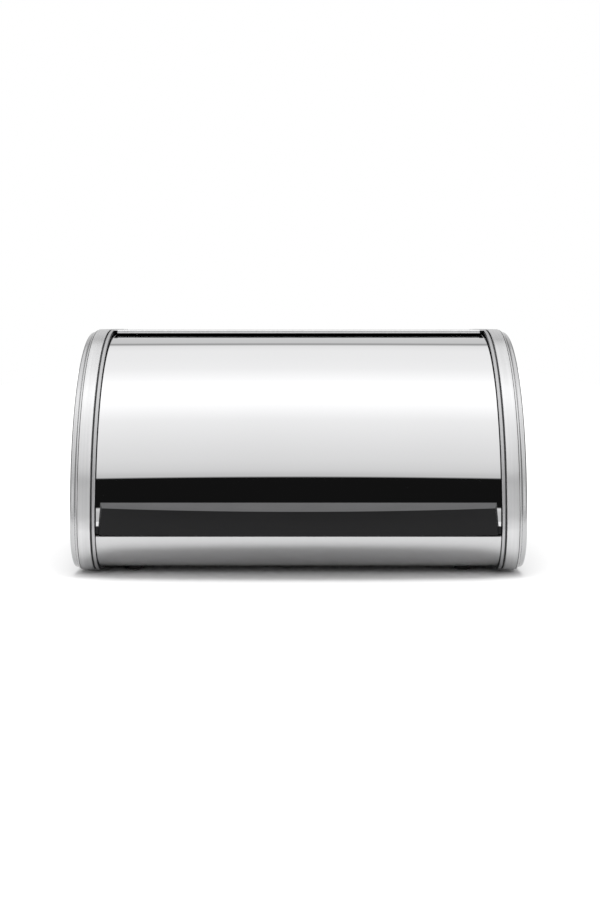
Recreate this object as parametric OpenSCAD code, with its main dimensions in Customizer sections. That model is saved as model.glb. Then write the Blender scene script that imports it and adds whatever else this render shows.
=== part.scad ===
// Bread box with a roll top: a steel box with a quarter-round front whose lid
// rolls up and back under the flat top, about two pins in the end panels.
// Millimetres. X runs along the box, the front faces -Y, Z is up.
// The origin is on the floor, below the middle of the box.

/* [Box] */
// Width over both end covers
body_w = 445; // [400:1:500]
// Radius of the round front, at the cap bands
cap_r = 193; // [180:1:205]
// Distance from the lid's pivots to the back
back_reach = 157; // [145:1:180]
// Height of the lid's pivots above the floor
pivot_h = 48; // [44:1:52]
// Height of the cap bands' lowest point above the floor
foot_gap = 2; // [1:0.5:4]
// Radius of the upper rear corner
rear_top_r = 30; // [20:1:40]
// Radius of the lower rear corner
rear_bottom_r = 24; // [14:1:30]
// Thickness of the steel sheets
sheet_t = 0.9; // [0.6:0.1:1.2]
// How far the top and back sheet lies inside the cap bands
wrap_inset = 0.5; // [0.2:0.1:1]
// How far the flat top reaches in front of the pivots
top_reach = 23; // [18:1:28]
// Height of the folded hem at the front of the flat top
hem_h = 3.6; // [2.8:0.2:4.4]
// How far the apron and floor lie inside the cap bands
apron_inset = 4; // [3:0.2:4.6]
// Width of the flanges under the floor pan
flange_w = 34; // [28:1:44]

/* [End caps] */
// Width of the end cover's rim
cover_w = 7.5; // [6.5:0.5:10]
// Step from the band down to the cover's rim
cover_step = 3; // [2.6:0.2:4]
// Rounding of the cover's outer edge
cover_edge_r = 3; // [2:0.2:4]
// Thickness of the end covers
cover_t = 1.2; // [0.8:0.1:1.5]
// Groove between cover and band
groove_w = 0.5; // [0.4:0.1:1]
// Width of the brushed cap band
band_w = 12.2; // [11:0.2:15]
// Thickness of the cap band
band_t = 1.2; // [0.8:0.1:1.4]
// Width of the dark groove between band and bead
trench_w = 1.7; // [1.2:0.1:2.4]
// Depth of the dark groove
trench_d = 3; // [2.6:0.1:3.4]
// Width of the bright trim bead
bead_w = 3; // [2.4:0.2:4]
// Thickness of the end panels' moulded walls
panel_t = 2.7; // [2:0.1:3.2]
// Height of the end panels' ribs
rib_h = 6; // [4:0.5:8]

/* [Lid] */
// How far the lid's surface lies inside the cap bands
lid_inset = 5; // [4.6:0.2:6]
// Gap between the lid's ends and the trim beads
lid_end_gap = 0.7; // [0.6:0.1:2]
// Angle of the lid's lower edge below the pivots' level
lid_low = 1.5; // [0.8:0.1:1.8]
// Angle of the lid's upper edge above the pivots' level
lid_high = 84.6; // [83:0.2:86]
// How far the rubber stops for the open lid stand off the back wall
stop_t = 5.6; // [4:0.2:9]
// Thickness of the lid's side arms
arm_t = 1.5; // [1.2:0.1:2]
// Distance from the lid's ends to the arms' outer faces
arm_in = 3.5; // [3.3:0.1:5]
// Radius of the arms' hubs
hub_r = 16; // [13:1:20]
// Diameter of the pivot pins
pin_d = 8; // [6:0.5:9]
// Outer diameter of the pivot bushes
bush_d = 12; // [11:0.5:14]
// Radial running clearance of the pivots
run_gap = 0.05; // [0.03:0.01:0.08]
// Gap between the closed lid and the apron
apron_gap = 1.6; // [1.2:0.1:2.4]
// Width of the lid's stiffening brace, along the arc in degrees
brace_arc = 10; // [8:0.5:13]

/* [Handle] */
// How far the handle stands out at its middle
handle_reach = 21; // [16:1:26]
// How far the handle stands out at its ends
handle_end_reach = 12; // [9:1:14]
// Height of the handle against the lid
handle_h = 29.6; // [24:0.4:34]
// Slope of the handle's top face, in degrees
handle_slope = 15.5; // [8:0.5:20]
// Distance from the lid's ends to the ends of the handle's bar, at its foot
handle_in = 1.5; // [1:0.5:30]
// How much each end of the bar leans in over its height
handle_lean = 3; // [0:0.5:6]
// How much further each end of the bar reaches at the lid than at its front
handle_flare = 3; // [0:0.5:5]
// Height of the flange along the handle's foot
lip_h = 7; // [5:0.5:9]
// How far the flange stands out
lip_reach = 4; // [3:0.5:6]

/* [Hidden] */
$fn = 180;

seat = 0.2;             // gap between fixed pieces with curved seats
clear = 0.3;            // gap beside moving pieces
overlap = 0.5;          // how far fused shapes run into each other
small_fn = 48;          // roundness of screws, rivets and feet

steel = [0.82, 0.83, 0.84];
brushed = [0.7, 0.7, 0.71];
bright = [0.88, 0.88, 0.89];
moulded = [0.22, 0.22, 0.23];
black = [0.09, 0.09, 0.1];
rubber = [0.14, 0.14, 0.14];

// Side outline of the box
handle_front = handle_reach - lid_inset;
front_y = (handle_front - cap_r - back_reach) / 2;
pivot_y = front_y + cap_r;
back_y = pivot_y + back_reach;
base_z = foot_gap;
top_z = pivot_h + cap_r;
front_corner_r = pivot_h - base_z;
corner_y = front_y + front_corner_r;

// Each arc is [centre y, centre z, radius, start angle, sweep]
FRONT_ARC = [pivot_y, pivot_h, cap_r, 90, 90];
FRONT_CORNER = [corner_y, pivot_h, front_corner_r, 180, 90];
REAR_BOTTOM = [back_y - rear_bottom_r, base_z + rear_bottom_r, rear_bottom_r, 270, 90];
REAR_TOP = [back_y - rear_top_r, top_z - rear_top_r, rear_top_r, 0, 90];
// Each straight run is [start y, start z, angle it faces, length]
TOP_RUN = [pivot_y, top_z, 90, back_y - rear_top_r - pivot_y];
BACK_RUN = [back_y, top_z - rear_top_r, 0, top_z - rear_top_r - base_z - rear_bottom_r];
BOTTOM_RUN = [back_y - rear_bottom_r, base_z, 270, back_y - rear_bottom_r - corner_y];

// Places along the box, from its end inwards
cover_x1 = body_w / 2;
cover_x0 = cover_x1 - cover_w;
band_x1 = cover_x0 - groove_w;
band_x0 = band_x1 - band_w;
bead_x1 = band_x0 - trench_w;
bead_x0 = bead_x1 - bead_w;
sheet_half = bead_x0 - clear;
panel_x0 = bead_x1;
panel_x1 = panel_x0 + panel_t;
lid_half = bead_x0 - lid_end_gap;
arm_x1 = lid_half - arm_in;
arm_x0 = arm_x1 - arm_t;

// End panel, its ledges for the sheets and its screws
bead_t = 1.2;
bead_inset = 0.2;
rim_t = 2.8;
rim_inset = band_t + seat;
carrier_inset = bead_inset + bead_t + seat;
ledge_t = 2.6;
ledge_w = 6.5;
ledge_x0 = panel_x0 - ledge_w;
shoulder_r = cover_step - 0.6;
boss_d = 9;
boss_room = 1;
boss_inset = 24;
boss_angle = 56;
pilot_d = 3.3;
pilot_depth = 10.5;
screw_d = pilot_d - 2 * run_gap;
screw_hole_d = 4;
screw_head_d = 7;
screw_head_h = 1.7;
rib_t = 2;
rib_count = 8;
rib_turn = 10;
SCREW_SPOTS = [
    [corner_y, pivot_h],
    [pivot_y - (cap_r - boss_inset) * cos(boss_angle),
        pivot_h + (cap_r - boss_inset) * sin(boss_angle)],
    [back_y - boss_inset, top_z - boss_inset],
    [back_y - boss_inset, base_z + boss_inset]];

// Sheets of the body
wrap_y0 = pivot_y - top_reach;
wrap_z = top_z - wrap_inset;
wrap_back = back_y - wrap_inset;
wrap_inner_back = wrap_back - sheet_t;
hem_in = 4.3;
hem_half = sheet_half - hem_in;
hem_r = 1.6;
flange_z = base_z + apron_inset;
pan_z = flange_z + sheet_t;
bend_r = 10;
fold_r = 1.4;
fold_w = 14;
lid_r = cap_r - lid_inset;
lid_bottom_z = pivot_h - lid_r * sin(lid_low);
apron_top = lid_bottom_z - apron_gap;

// Feet and rivets under the floor
foot_d = 18;
foot_tip_d = 15;
spigot_d = 6;
foot_in = 32;
foot_x = sheet_half - foot_in;
front_foot_y = corner_y + flange_w / 2;
rear_foot_y = wrap_back - bend_r - flange_w / 2;
rivet_d = 3.2;
rivet_head_d = 6.4;
rivet_head_h = 1;
rivet_count = 4;
rivet_rows = [front_foot_y, rear_foot_y];
rivet_spots = [for (i = [1:rivet_count]) foot_x * (2 * i / (rivet_count + 1) - 1)];

// Pivots
hub_gap = clear;
bush_flange_w = 3;
bush_flange_d = bush_d + 2 * bush_flange_w;
bush_flange_t = 2;
bush_lead = 1.1;
bush_x0 = arm_x0 - bush_lead;
bush_x1 = arm_x1 + run_gap * 2 + bush_flange_t;
boss_face = bush_x1 + hub_gap;
pin_head_w = 3;
pin_head_d = pin_d + 2 * pin_head_w;
pin_head_t = 1.5;
pin_x0 = bush_x0 - hub_gap;
boss_wall = 7;
boss_l = 9.7;
pivot_boss_d = pin_d + 2 * boss_wall;
pivot_boss_x1 = panel_x1 + boss_l;
pin_bore = pin_d + 2 * run_gap;
arm_hole_d = bush_d + 2 * run_gap;

// Lid
lid_inner_r = lid_r - sheet_t;
lid_bead_r = 1.3;
lid_bead_drop = 0.15;
lid_bead_mid = lid_r - lid_bead_r - lid_bead_drop;
lid_edge_w = 10;
edge_deg = degrees(sheet_t, lid_r);
arm_r = lid_inner_r - clear;
arm_foot_r = lid_r - lid_edge_w - clear;
arm_low = edge_deg + degrees(clear, arm_foot_r) - lid_low;
tab_t = 1.2;
tab_x1 = lid_half - clear;
brace_t = 1;
brace_r = lid_inner_r - seat;
brace_low = 1;
brace_high = brace_low + brace_arc;
brace_fold = 9;
brace_half = arm_x0;
arm_rivet_r = brace_r - brace_t - rivet_head_d / 2 - clear;
arm_rivet_angles = [brace_low + brace_arc * 0.25, brace_low + brace_arc * 0.75];

// Handle
handle_z0 = lid_bottom_z + seat;
handle_z1 = handle_z0 + handle_h;
handle_root = 12;
handle_cut = 20;
handle_fit = 0.15;
handle_seat_r = lid_r + handle_fit;
handle_back = pivot_y - lid_r;
handle_half = lid_half - handle_in;
bow = handle_reach - handle_end_reach;
bow_r = (handle_half * handle_half + bow * bow) / (2 * bow);
bow_fn = 720;
finger_r = 7;
finger_cut = 1.6;
finger_in = 12;
handle_screw_angle = 4.2;
handle_screw_depth = 9;
handle_screw_in = 71;
handle_screw_x = [handle_screw_in - handle_half, 0, handle_half - handle_screw_in];

// Stops
stop_in = 77;
stop_x = sheet_half - stop_in;
stop_d = 16;
stop_drop = 2;
stop_face = wrap_inner_back - stop_t;
lid_open_reach = stop_face - clear - pivot_y;
stop_angle = acos((lid_bead_r - lid_open_reach) / lid_bead_mid);
stop_z = pivot_h + lid_bead_mid * sin(stop_angle) - stop_drop;
pad_in = 47;
pad_x = sheet_half - pad_in;
pad_l = 24;
pad_y = pivot_y - lid_r + 1;
pad_w = 8;
pad_t = apron_gap - clear;

// The angle in degrees that a length covers on a circle
function degrees(length, r) = length / r * 180 / PI;

// A shape drawn with y to the right, z up and x towards the viewer
module side_plane() {
    rotate([90, 0, 90]) children();
}

// Carries a section, drawn with x outwards and y along the box, round one arc
module sweep_arc(arc) {
    translate([arc[0], arc[1], 0])
        rotate_extrude(start = arc[3], angle = arc[4])
            translate([arc[2], 0]) children();
}

// Carries the same kind of section along one straight run
module sweep_run(run) {
    translate([run[0], run[1], 0])
        rotate([0, 0, run[2]])
            rotate([90, 0, 0]) linear_extrude(run[3]) children();
}

// Carries a section round the whole side outline
module sweep_outline() {
    for (arc = [FRONT_ARC, FRONT_CORNER, REAR_BOTTOM, REAR_TOP]) sweep_arc(arc) children();
    for (run = [TOP_RUN, BACK_RUN, BOTTOM_RUN]) sweep_run(run) children();
}

// A quarter of a disc, from an angle on
module quarter_disc(r, from) {
    intersection() {
        circle(r);
        rotate(from) square(r + 1);
    }
}

// A point of an arc of the side outline, set in from the cap bands' surface
function arc_point(arc, inset, angle) = [
    arc[0] + (arc[2] - inset) * cos(angle),
    arc[1] + (arc[2] - inset) * sin(angle)];

// The side outline as a face, set in from the cap bands' surface
module side_outline(inset = 0) {
    for (arc = [FRONT_ARC, FRONT_CORNER, REAR_BOTTOM, REAR_TOP])
        translate([arc[0], arc[1]]) quarter_disc(arc[2] - inset, arc[3]);
    polygon([
        arc_point(FRONT_ARC, inset, 90), [pivot_y, pivot_h],
        [corner_y, pivot_h], arc_point(FRONT_CORNER, inset, 270),
        arc_point(REAR_BOTTOM, inset, 270), [REAR_BOTTOM[0], REAR_BOTTOM[1]],
        arc_point(REAR_BOTTOM, inset, 0), arc_point(REAR_TOP, inset, 0),
        [REAR_TOP[0], REAR_TOP[1]], arc_point(REAR_TOP, inset, 90)]);
}

// A bar section whose two outer corners are round
module rounded_bar(thick, length, r) {
    square([thick - r, length]);
    translate([0, r]) square([thick, length - 2 * r]);
    for (y = [r, length - r]) translate([thick - r, y]) circle(r, $fn = small_fn);
}

// A flat strip section, set in from the outline
module strip(inset, thick, from, to) {
    translate([-inset - thick, from]) square([thick, to - from]);
}

// A steel sheet's section across the whole box
module sheet_section() {
    translate([-sheet_t, -sheet_half]) square([sheet_t, 2 * sheet_half]);
}

// A point on the lid's side of the pivot, by angle above the pivot's level
function lid_point(angle, r) = [-r * cos(angle), r * sin(angle)];

// Carries a section round part of the lid's arc
module lid_arc(from, to) {
    side_plane() sweep_arc([pivot_y, pivot_h, 0, 180 - to, to - from]) children();
}

// Places a shape whose -Y direction points out of the lid at an angle
module at_lid_angle(angle) {
    translate([0, pivot_y, pivot_h]) rotate([-angle, 0, 0]) children();
}

// A round pin pointing out of the lid between two radii
module radial_pin(r0, r1, d) {
    translate([0, -r0, 0]) rotate([90, 0, 0]) cylinder(h = r1 - r0, d = d, $fn = small_fn);
}

// A round bar along the box between two places
module x_pin(x0, x1, d) {
    translate([x0, 0, 0]) rotate([0, 90, 0]) cylinder(h = x1 - x0, d = d, $fn = 96);
}

module at_pivot() {
    translate([0, pivot_y, pivot_h]) children();
}

module at_screws() {
    for (spot = SCREW_SPOTS) translate([0, spot[0], spot[1]]) children();
}

// Top and back in one sheet, with a hem in front and a flange below
module body_wrap() {
    color(steel) difference() {
        side_plane() {
            sweep_run([wrap_y0 + hem_r, wrap_z, 90, back_y - rear_top_r - wrap_y0 - hem_r])
                sheet_section();
            sweep_arc([REAR_TOP[0], REAR_TOP[1], rear_top_r - wrap_inset, 0, 90]) sheet_section();
            sweep_run([wrap_back, REAR_TOP[1], 0, REAR_TOP[1] - flange_z - bend_r]) sheet_section();
            sweep_arc([wrap_back - bend_r, flange_z + bend_r, bend_r, 270, 90]) sheet_section();
            sweep_run([wrap_back - bend_r, flange_z, 270, flange_w]) sheet_section();
            hem();
        }
        for (side = [-1, 1]) foot_hole(side * foot_x, rear_foot_y);
        for (x = rivet_spots) rivet_hole(x, rear_foot_y);
    }
}

module hem_section() {
    translate([-sheet_t, -hem_half]) square([sheet_t, 2 * hem_half]);
}

// The front edge of the top is bent down and folded back on itself
module hem() {
    sweep_arc([wrap_y0 + hem_r, wrap_z - hem_r, hem_r, 90, 90]) hem_section();
    sweep_run([wrap_y0, wrap_z - hem_h, 180, hem_h - hem_r]) hem_section();
    sweep_run([wrap_y0 + sheet_t, wrap_z - hem_h, 180, hem_h - hem_r - sheet_t / 2])
        hem_section();
}

module foot_hole(x, y) {
    translate([x, y, flange_z - 1])
        cylinder(h = 2 * sheet_t + 2, d = spigot_d + 2 * seat, $fn = small_fn);
}

module rivet_hole(x, y) {
    translate([x, y, flange_z - 1])
        cylinder(h = 2 * sheet_t + 2, d = rivet_d + 2 * run_gap, $fn = small_fn);
}

// Bottom sheet, lying on the flanges of apron and back
module floor_pan() {
    color(steel) difference() {
        translate([-sheet_half, corner_y + overlap, pan_z])
            cube([2 * sheet_half, wrap_back - bend_r - corner_y - overlap, sheet_t]);
        for (side = [-1, 1], y = rivet_rows) foot_hole(side * foot_x, y);
        for (x = rivet_spots, y = rivet_rows) rivet_hole(x, y);
    }
}

function apron_y(z) = corner_y
    - sqrt(pow(front_corner_r - apron_inset, 2) - pow(z - pivot_h, 2));

// Curved steel lip below the lid, folded in along its top and bottom
module front_apron() {
    fold_z = apron_top - fold_r;
    fold_y = apron_y(fold_z);
    color(bright) difference() {
        side_plane() translate([0, 0, -sheet_half]) linear_extrude(2 * sheet_half) {
            intersection() {
                difference() {
                    side_outline(apron_inset);
                    side_outline(apron_inset + sheet_t);
                }
                translate([front_y, 0])
                    square([corner_y + flange_w - front_y, fold_z]);
            }
            intersection() {
                translate([fold_y + fold_r, fold_z]) difference() {
                    circle(fold_r, $fn = small_fn);
                    circle(fold_r - sheet_t, $fn = small_fn);
                }
                translate([fold_y - overlap, fold_z]) square([fold_r + overlap, 2 * fold_r]);
            }
            translate([fold_y + fold_r, apron_top - sheet_t]) square([fold_w - fold_r, sheet_t]);
        }
        for (side = [-1, 1]) foot_hole(side * foot_x, front_foot_y);
        for (x = rivet_spots) rivet_hole(x, front_foot_y);
    }
}

// Moulded end panel: plate, rim under the band, ledges for the sheets, ribs, pivot boss
module end_panel() {
    color(moulded) difference() {
        union() {
            side_plane() {
                translate([0, 0, panel_x0]) linear_extrude(panel_t) side_outline(trench_d);
                sweep_outline() strip(rim_inset, rim_t, band_x0 + clear, band_x1 - clear);
                sweep_outline() strip(carrier_inset, ledge_t, bead_x0 + clear, panel_x0 + overlap);
                for (run = [TOP_RUN, BACK_RUN])
                    sweep_run(run) strip(wrap_inset + sheet_t + seat, ledge_t, ledge_x0, panel_x0);
                sweep_arc(REAR_TOP)
                    strip(wrap_inset + sheet_t + seat, ledge_t, ledge_x0, panel_x0);
                sweep_run(BOTTOM_RUN)
                    strip(carrier_inset, apron_inset - seat - carrier_inset, ledge_x0,
                        panel_x0 + overlap);
                apron_ledge();
                panel_ribs();
            }
            at_pivot() x_pin(boss_face, pivot_boss_x1, pivot_boss_d);
        }
        at_pivot() x_pin(boss_face - 1, pivot_boss_x1 + 1, pin_bore);
        at_screws() x_pin(panel_x0 - 1, panel_x1 + 1, screw_hole_d);
    }
}

// Ledge behind the apron, from below its top fold to above the floor pan
module apron_ledge() {
    inset = apron_inset + sheet_t + seat;
    ledge_r = front_corner_r - inset;
    from = asin((pivot_h - apron_top + sheet_t + clear) / (ledge_r - ledge_t));
    to = asin((pivot_h - pan_z - sheet_t - ledge_t) / ledge_r);
    sweep_arc([corner_y, pivot_h, front_corner_r, 180 + from, to - from])
        strip(inset, ledge_t, ledge_x0, panel_x0 + overlap);
}

// Ribs from the pivot boss to the rim, kept clear of the cover's screw bosses
module panel_ribs() {
    translate([0, 0, panel_x1 - overlap]) linear_extrude(rib_h + overlap) difference() {
        intersection() {
            side_outline(rim_inset + overlap);
            for (i = [1:rib_count])
                translate([pivot_y, pivot_h]) rotate(rib_turn + i * 360 / rib_count)
                    translate([0, -rib_t / 2]) square([2 * cap_r, rib_t]);
        }
        for (spot = SCREW_SPOTS) translate(spot) circle(d = boss_d + 2 * boss_room, $fn = small_fn);
        translate([pivot_y, pivot_h]) circle(d = pin_bore + 2 * boss_room);
    }
}

module left_end_panel() { mirror([1, 0, 0]) end_panel(); }
module right_end_panel() { end_panel(); }

// Brushed steel band round the end
module cap_band() {
    color(brushed) side_plane() sweep_outline()
        translate([-band_t, band_x0]) rounded_bar(band_t, band_w, band_t / 2);
}

module left_cap_band() { mirror([1, 0, 0]) cap_band(); }
module right_cap_band() { cap_band(); }

// Section of the cover's rim: a round shoulder, a short wall and a round outer edge
module cover_section() {
    strip(cover_step, cover_t, cover_x0, cover_x1 - cover_edge_r);
    strip(cover_step + cover_edge_r, overlap, cover_x1 - cover_t, cover_x1);
    translate([-cover_step - cover_edge_r, cover_x1 - cover_edge_r]) intersection() {
        difference() {
            circle(cover_edge_r, $fn = small_fn);
            circle(cover_edge_r - cover_t, $fn = small_fn);
        }
        square(cover_edge_r);
    }
    translate([-cover_step, cover_x0]) intersection() {
        circle(shoulder_r, $fn = small_fn);
        translate([-cover_t, 0]) square([cover_t + shoulder_r, shoulder_r]);
    }
}

// Pressed steel cover with screw bosses behind its face
module cap_cover() {
    color(brushed) difference() {
        union() {
            side_plane() {
                sweep_outline() cover_section();
                translate([0, 0, cover_x1 - cover_t]) linear_extrude(cover_t)
                    side_outline(cover_step + cover_edge_r);
            }
            at_screws() x_pin(panel_x1, cover_x1 - cover_t / 2, boss_d);
        }
        at_screws() x_pin(panel_x1 - 1, panel_x1 + pilot_depth, pilot_d);
    }
}

module left_cap_cover() { mirror([1, 0, 0]) cap_cover(); }
module right_cap_cover() { cap_cover(); }

// Bright trim between band and lid
module trim_bead() {
    color(bright) side_plane() sweep_outline()
        translate([-bead_inset - bead_t, bead_x0]) rounded_bar(bead_t, bead_w, bead_t / 2);
}

module left_trim_bead() { mirror([1, 0, 0]) trim_bead(); }
module right_trim_bead() { trim_bead(); }

// Pan-head screws from inside the box into the covers' bosses
module cover_screws() {
    color(steel) for (side = [0, 1]) mirror([side, 0, 0]) at_screws() {
        x_pin(panel_x0 - screw_head_h, panel_x0, screw_head_d);
        x_pin(panel_x0 - overlap, panel_x1 + pilot_depth - overlap, screw_d);
    }
}

// Rivets that join floor pan, apron and back
module seam_rivets() {
    color(steel) for (x = rivet_spots, y = rivet_rows) translate([x, y, 0]) {
        translate([0, 0, flange_z - rivet_head_h])
            cylinder(h = rivet_head_h, d = rivet_head_d, $fn = small_fn);
        translate([0, 0, flange_z - overlap])
            cylinder(h = 2 * sheet_t + 2 * overlap, d = rivet_d, $fn = small_fn);
        translate([0, 0, pan_z + sheet_t])
            cylinder(h = rivet_head_h, d = rivet_head_d, $fn = small_fn);
    }
}

// Rubber foot with a spigot through flange and floor pan
module foot(x, y) {
    color(rubber) translate([x, y, 0]) {
        cylinder(h = flange_z, d1 = foot_tip_d, d2 = foot_d, $fn = small_fn);
        cylinder(h = pan_z + sheet_t, d = spigot_d, $fn = small_fn);
    }
}

module front_left_foot() { foot(-foot_x, front_foot_y); }
module front_right_foot() { foot(foot_x, front_foot_y); }
module rear_left_foot() { foot(-foot_x, rear_foot_y); }
module rear_right_foot() { foot(foot_x, rear_foot_y); }

// Headed pin, held in the end panel's boss
module pivot_pin() {
    color(steel) at_pivot() {
        x_pin(pin_x0 - pin_head_t, pin_x0, pin_head_d);
        x_pin(pin_x0 - overlap, pivot_boss_x1 - overlap, pin_d);
    }
}

module left_pivot_pin() { mirror([1, 0, 0]) pivot_pin(); }
module right_pivot_pin() { pivot_pin(); }

// Flanged bush in the arm's hub
module pivot_bush() {
    color(black) at_pivot() difference() {
        union() {
            x_pin(bush_x0, bush_x1, bush_d);
            x_pin(bush_x1 - bush_flange_t, bush_x1, bush_flange_d);
        }
        x_pin(bush_x0 - 1, bush_x1 + 1, pin_bore);
    }
}

module left_pivot_bush() { mirror([1, 0, 0]) pivot_bush(); }
module right_pivot_bush() { pivot_bush(); }

// Rubber pad on the apron's fold, below the lid's lower edge
module closing_pad(side) {
    color(rubber) translate([side * pad_x - pad_l / 2, pad_y, apron_top])
        cube([pad_l, pad_w, pad_t]);
}

module left_closing_pad() { closing_pad(-1); }
module right_closing_pad() { closing_pad(1); }

// Rubber button on the back wall, in the path of the open lid's rear edge
module open_stop(side) {
    color(rubber) translate([side * stop_x, wrap_inner_back, stop_z]) rotate([90, 0, 0])
        cylinder(h = stop_t, d = stop_d, $fn = small_fn);
}

module left_open_stop() { open_stop(-1); }
module right_open_stop() { open_stop(1); }

// Mirror-polished lid: an arc with a folded lower edge and a rolled upper edge
module lid_sheet() {
    color(bright) difference() {
        union() {
            lid_arc(-lid_low, lid_high)
                translate([lid_inner_r, -lid_half]) square([sheet_t, 2 * lid_half]);
            lid_arc(-lid_low, edge_deg - lid_low)
                translate([lid_r - lid_edge_w, -lid_half]) square([lid_edge_w, 2 * lid_half]);
            at_lid_angle(lid_high) translate([-lid_half, -lid_bead_mid, 0])
                rotate([0, 90, 0]) cylinder(h = 2 * lid_half, r = lid_bead_r, $fn = small_fn);
        }
        at_lid_angle(handle_screw_angle) for (x = handle_screw_x) translate([x, 0, 0])
            radial_pin(lid_inner_r - 2, lid_r + 2, screw_hole_d);
    }
}

// Side plate from the pivot to the lid, with a flange under the sheet
module lid_arm() {
    color(steel) difference() {
        union() {
            side_plane() translate([pivot_y, pivot_h, arm_x0]) linear_extrude(arm_t) {
                intersection() {
                    circle(arm_r);
                    polygon([[0, -hub_r * 0.8], lid_point(arm_low, arm_foot_r),
                        lid_point(arm_low, 2 * arm_r), lid_point(lid_high / 2, 3 * arm_r),
                        lid_point(lid_high - 1, 2 * arm_r), lid_point(lid_high - 1, arm_foot_r),
                        [hub_r * 0.8, 0]]);
                }
                circle(hub_r);
            }
            lid_arc(1, lid_high - 2)
                translate([arm_r - tab_t, arm_x0]) square([tab_t, tab_x1 - arm_x0]);
        }
        at_pivot() x_pin(arm_x0 - 1, arm_x1 + 1, arm_hole_d);
        for (a = arm_rivet_angles) at_lid_angle(a) translate([0, -arm_rivet_r, 0])
            x_pin(arm_x0 - 1, arm_x1 + 1, rivet_d + 2 * run_gap);
    }
}

module left_lid_arm() { mirror([1, 0, 0]) lid_arm(); }
module right_lid_arm() { lid_arm(); }

// Folded stiffener behind the handle, with an end tab against each arm
module lid_brace() {
    fold_deg = degrees(brace_t, brace_r);
    color(steel) difference() {
        union() {
            lid_arc(brace_low, brace_high)
                translate([brace_r - brace_t, -brace_half]) square([brace_t, 2 * brace_half]);
            lid_arc(brace_high - fold_deg, brace_high)
                translate([brace_r - brace_fold, -brace_half]) square([brace_fold, 2 * brace_half]);
            for (side = [0, 1]) mirror([side, 0, 0]) lid_arc(brace_low, brace_high)
                translate([brace_r - brace_fold, brace_half - brace_t])
                    square([brace_fold, brace_t]);
        }
        at_lid_angle(handle_screw_angle) for (x = handle_screw_x) translate([x, 0, 0])
            radial_pin(brace_r - brace_t - 2, brace_r + 2, screw_hole_d);
        for (a = arm_rivet_angles) at_lid_angle(a) translate([0, -arm_rivet_r, 0])
            x_pin(-brace_half - 1, brace_half + 1, rivet_d + 2 * run_gap);
    }
}

module arm_rivets() {
    color(steel) for (side = [0, 1], a = arm_rivet_angles) mirror([side, 0, 0])
        at_lid_angle(a) translate([0, -arm_rivet_r, 0]) {
            x_pin(arm_x0 - brace_t - rivet_head_h, arm_x0 - brace_t, rivet_head_d);
            x_pin(arm_x0 - brace_t - overlap, arm_x1 + overlap, rivet_d);
            x_pin(arm_x1, arm_x1 + rivet_head_h, rivet_head_d);
        }
}

module handle_screws() {
    head_r = brace_r - brace_t - run_gap;
    color(steel) at_lid_angle(handle_screw_angle) for (x = handle_screw_x)
        translate([x, 0, 0]) {
            radial_pin(head_r - screw_head_h, head_r, screw_head_d);
            radial_pin(head_r - overlap, lid_r + handle_screw_depth - overlap, screw_d);
        }
}

// The bar's outline as seen from its end, before its front is bowed
module handle_profile() {
    rise = tan(handle_slope);
    polygon([[handle_back + handle_root, handle_z0], [handle_back - handle_reach, handle_z0],
        [handle_back - handle_reach, handle_z1 - handle_reach * rise],
        [handle_back + handle_root, handle_z1 + handle_root * rise]]);
}

// What lies beyond the bar's end, which leans in upwards and flares out towards the lid
module beyond_bar_end() {
    lean = atan(handle_lean / handle_h);
    flare = atan(handle_flare / handle_end_reach);
    side = 2 * (handle_h + handle_reach + handle_cut);
    translate([handle_half, handle_back, handle_z0]) rotate([0, -lean, -flare])
        translate([0, -side / 2, -side / 2]) cube(side);
}

// Moulded bar bowed forward in the middle, with a flange along its foot
module lid_handle() {
    color(black) difference() {
        union() {
            difference() {
                intersection() {
                    side_plane() translate([0, 0, -lid_half]) linear_extrude(2 * lid_half)
                        handle_profile();
                    translate([0, handle_back - handle_reach + bow_r, handle_z0 - 1])
                        cylinder(h = handle_h + handle_cut, r = bow_r, $fn = bow_fn);
                }
                for (side = [0, 1]) mirror([side, 0, 0]) beyond_bar_end();
            }
            translate([-lid_half, handle_back - lip_reach, handle_z0])
                cube([2 * lid_half, lip_reach + handle_root / 2, lip_h]);
        }
        at_pivot() x_pin(-body_w / 2, body_w / 2, 2 * handle_seat_r, $fn = 180);
        finger_channel();
        at_lid_angle(handle_screw_angle) for (x = handle_screw_x) translate([x, 0, 0])
            radial_pin(lid_r - 2, lid_r + handle_screw_depth, pilot_d);
    }
}

// Shallow channel along the bar's underside for the fingertips, inside its shallower ends
module finger_channel() {
    translate([0, handle_back - handle_end_reach / 2, handle_z0 + finger_cut - finger_r])
        x_pin(finger_in - handle_half, handle_half - finger_in, 2 * finger_r);
}

body_wrap();
floor_pan();
front_apron();
left_end_panel();
right_end_panel();
left_cap_band();
right_cap_band();
left_cap_cover();
right_cap_cover();
left_trim_bead();
right_trim_bead();
cover_screws();
seam_rivets();
front_left_foot();
front_right_foot();
rear_left_foot();
rear_right_foot();
left_pivot_pin();
right_pivot_pin();
left_closing_pad();
right_closing_pad();
left_open_stop();
right_open_stop();
lid_sheet();
lid_handle();
left_lid_arm();
right_lid_arm();
left_pivot_bush();
right_pivot_bush();
lid_brace();
handle_screws();
arm_rivets();
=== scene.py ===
import math

import bmesh
import bpy
from mathutils import Matrix, Vector, geometry


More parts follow.
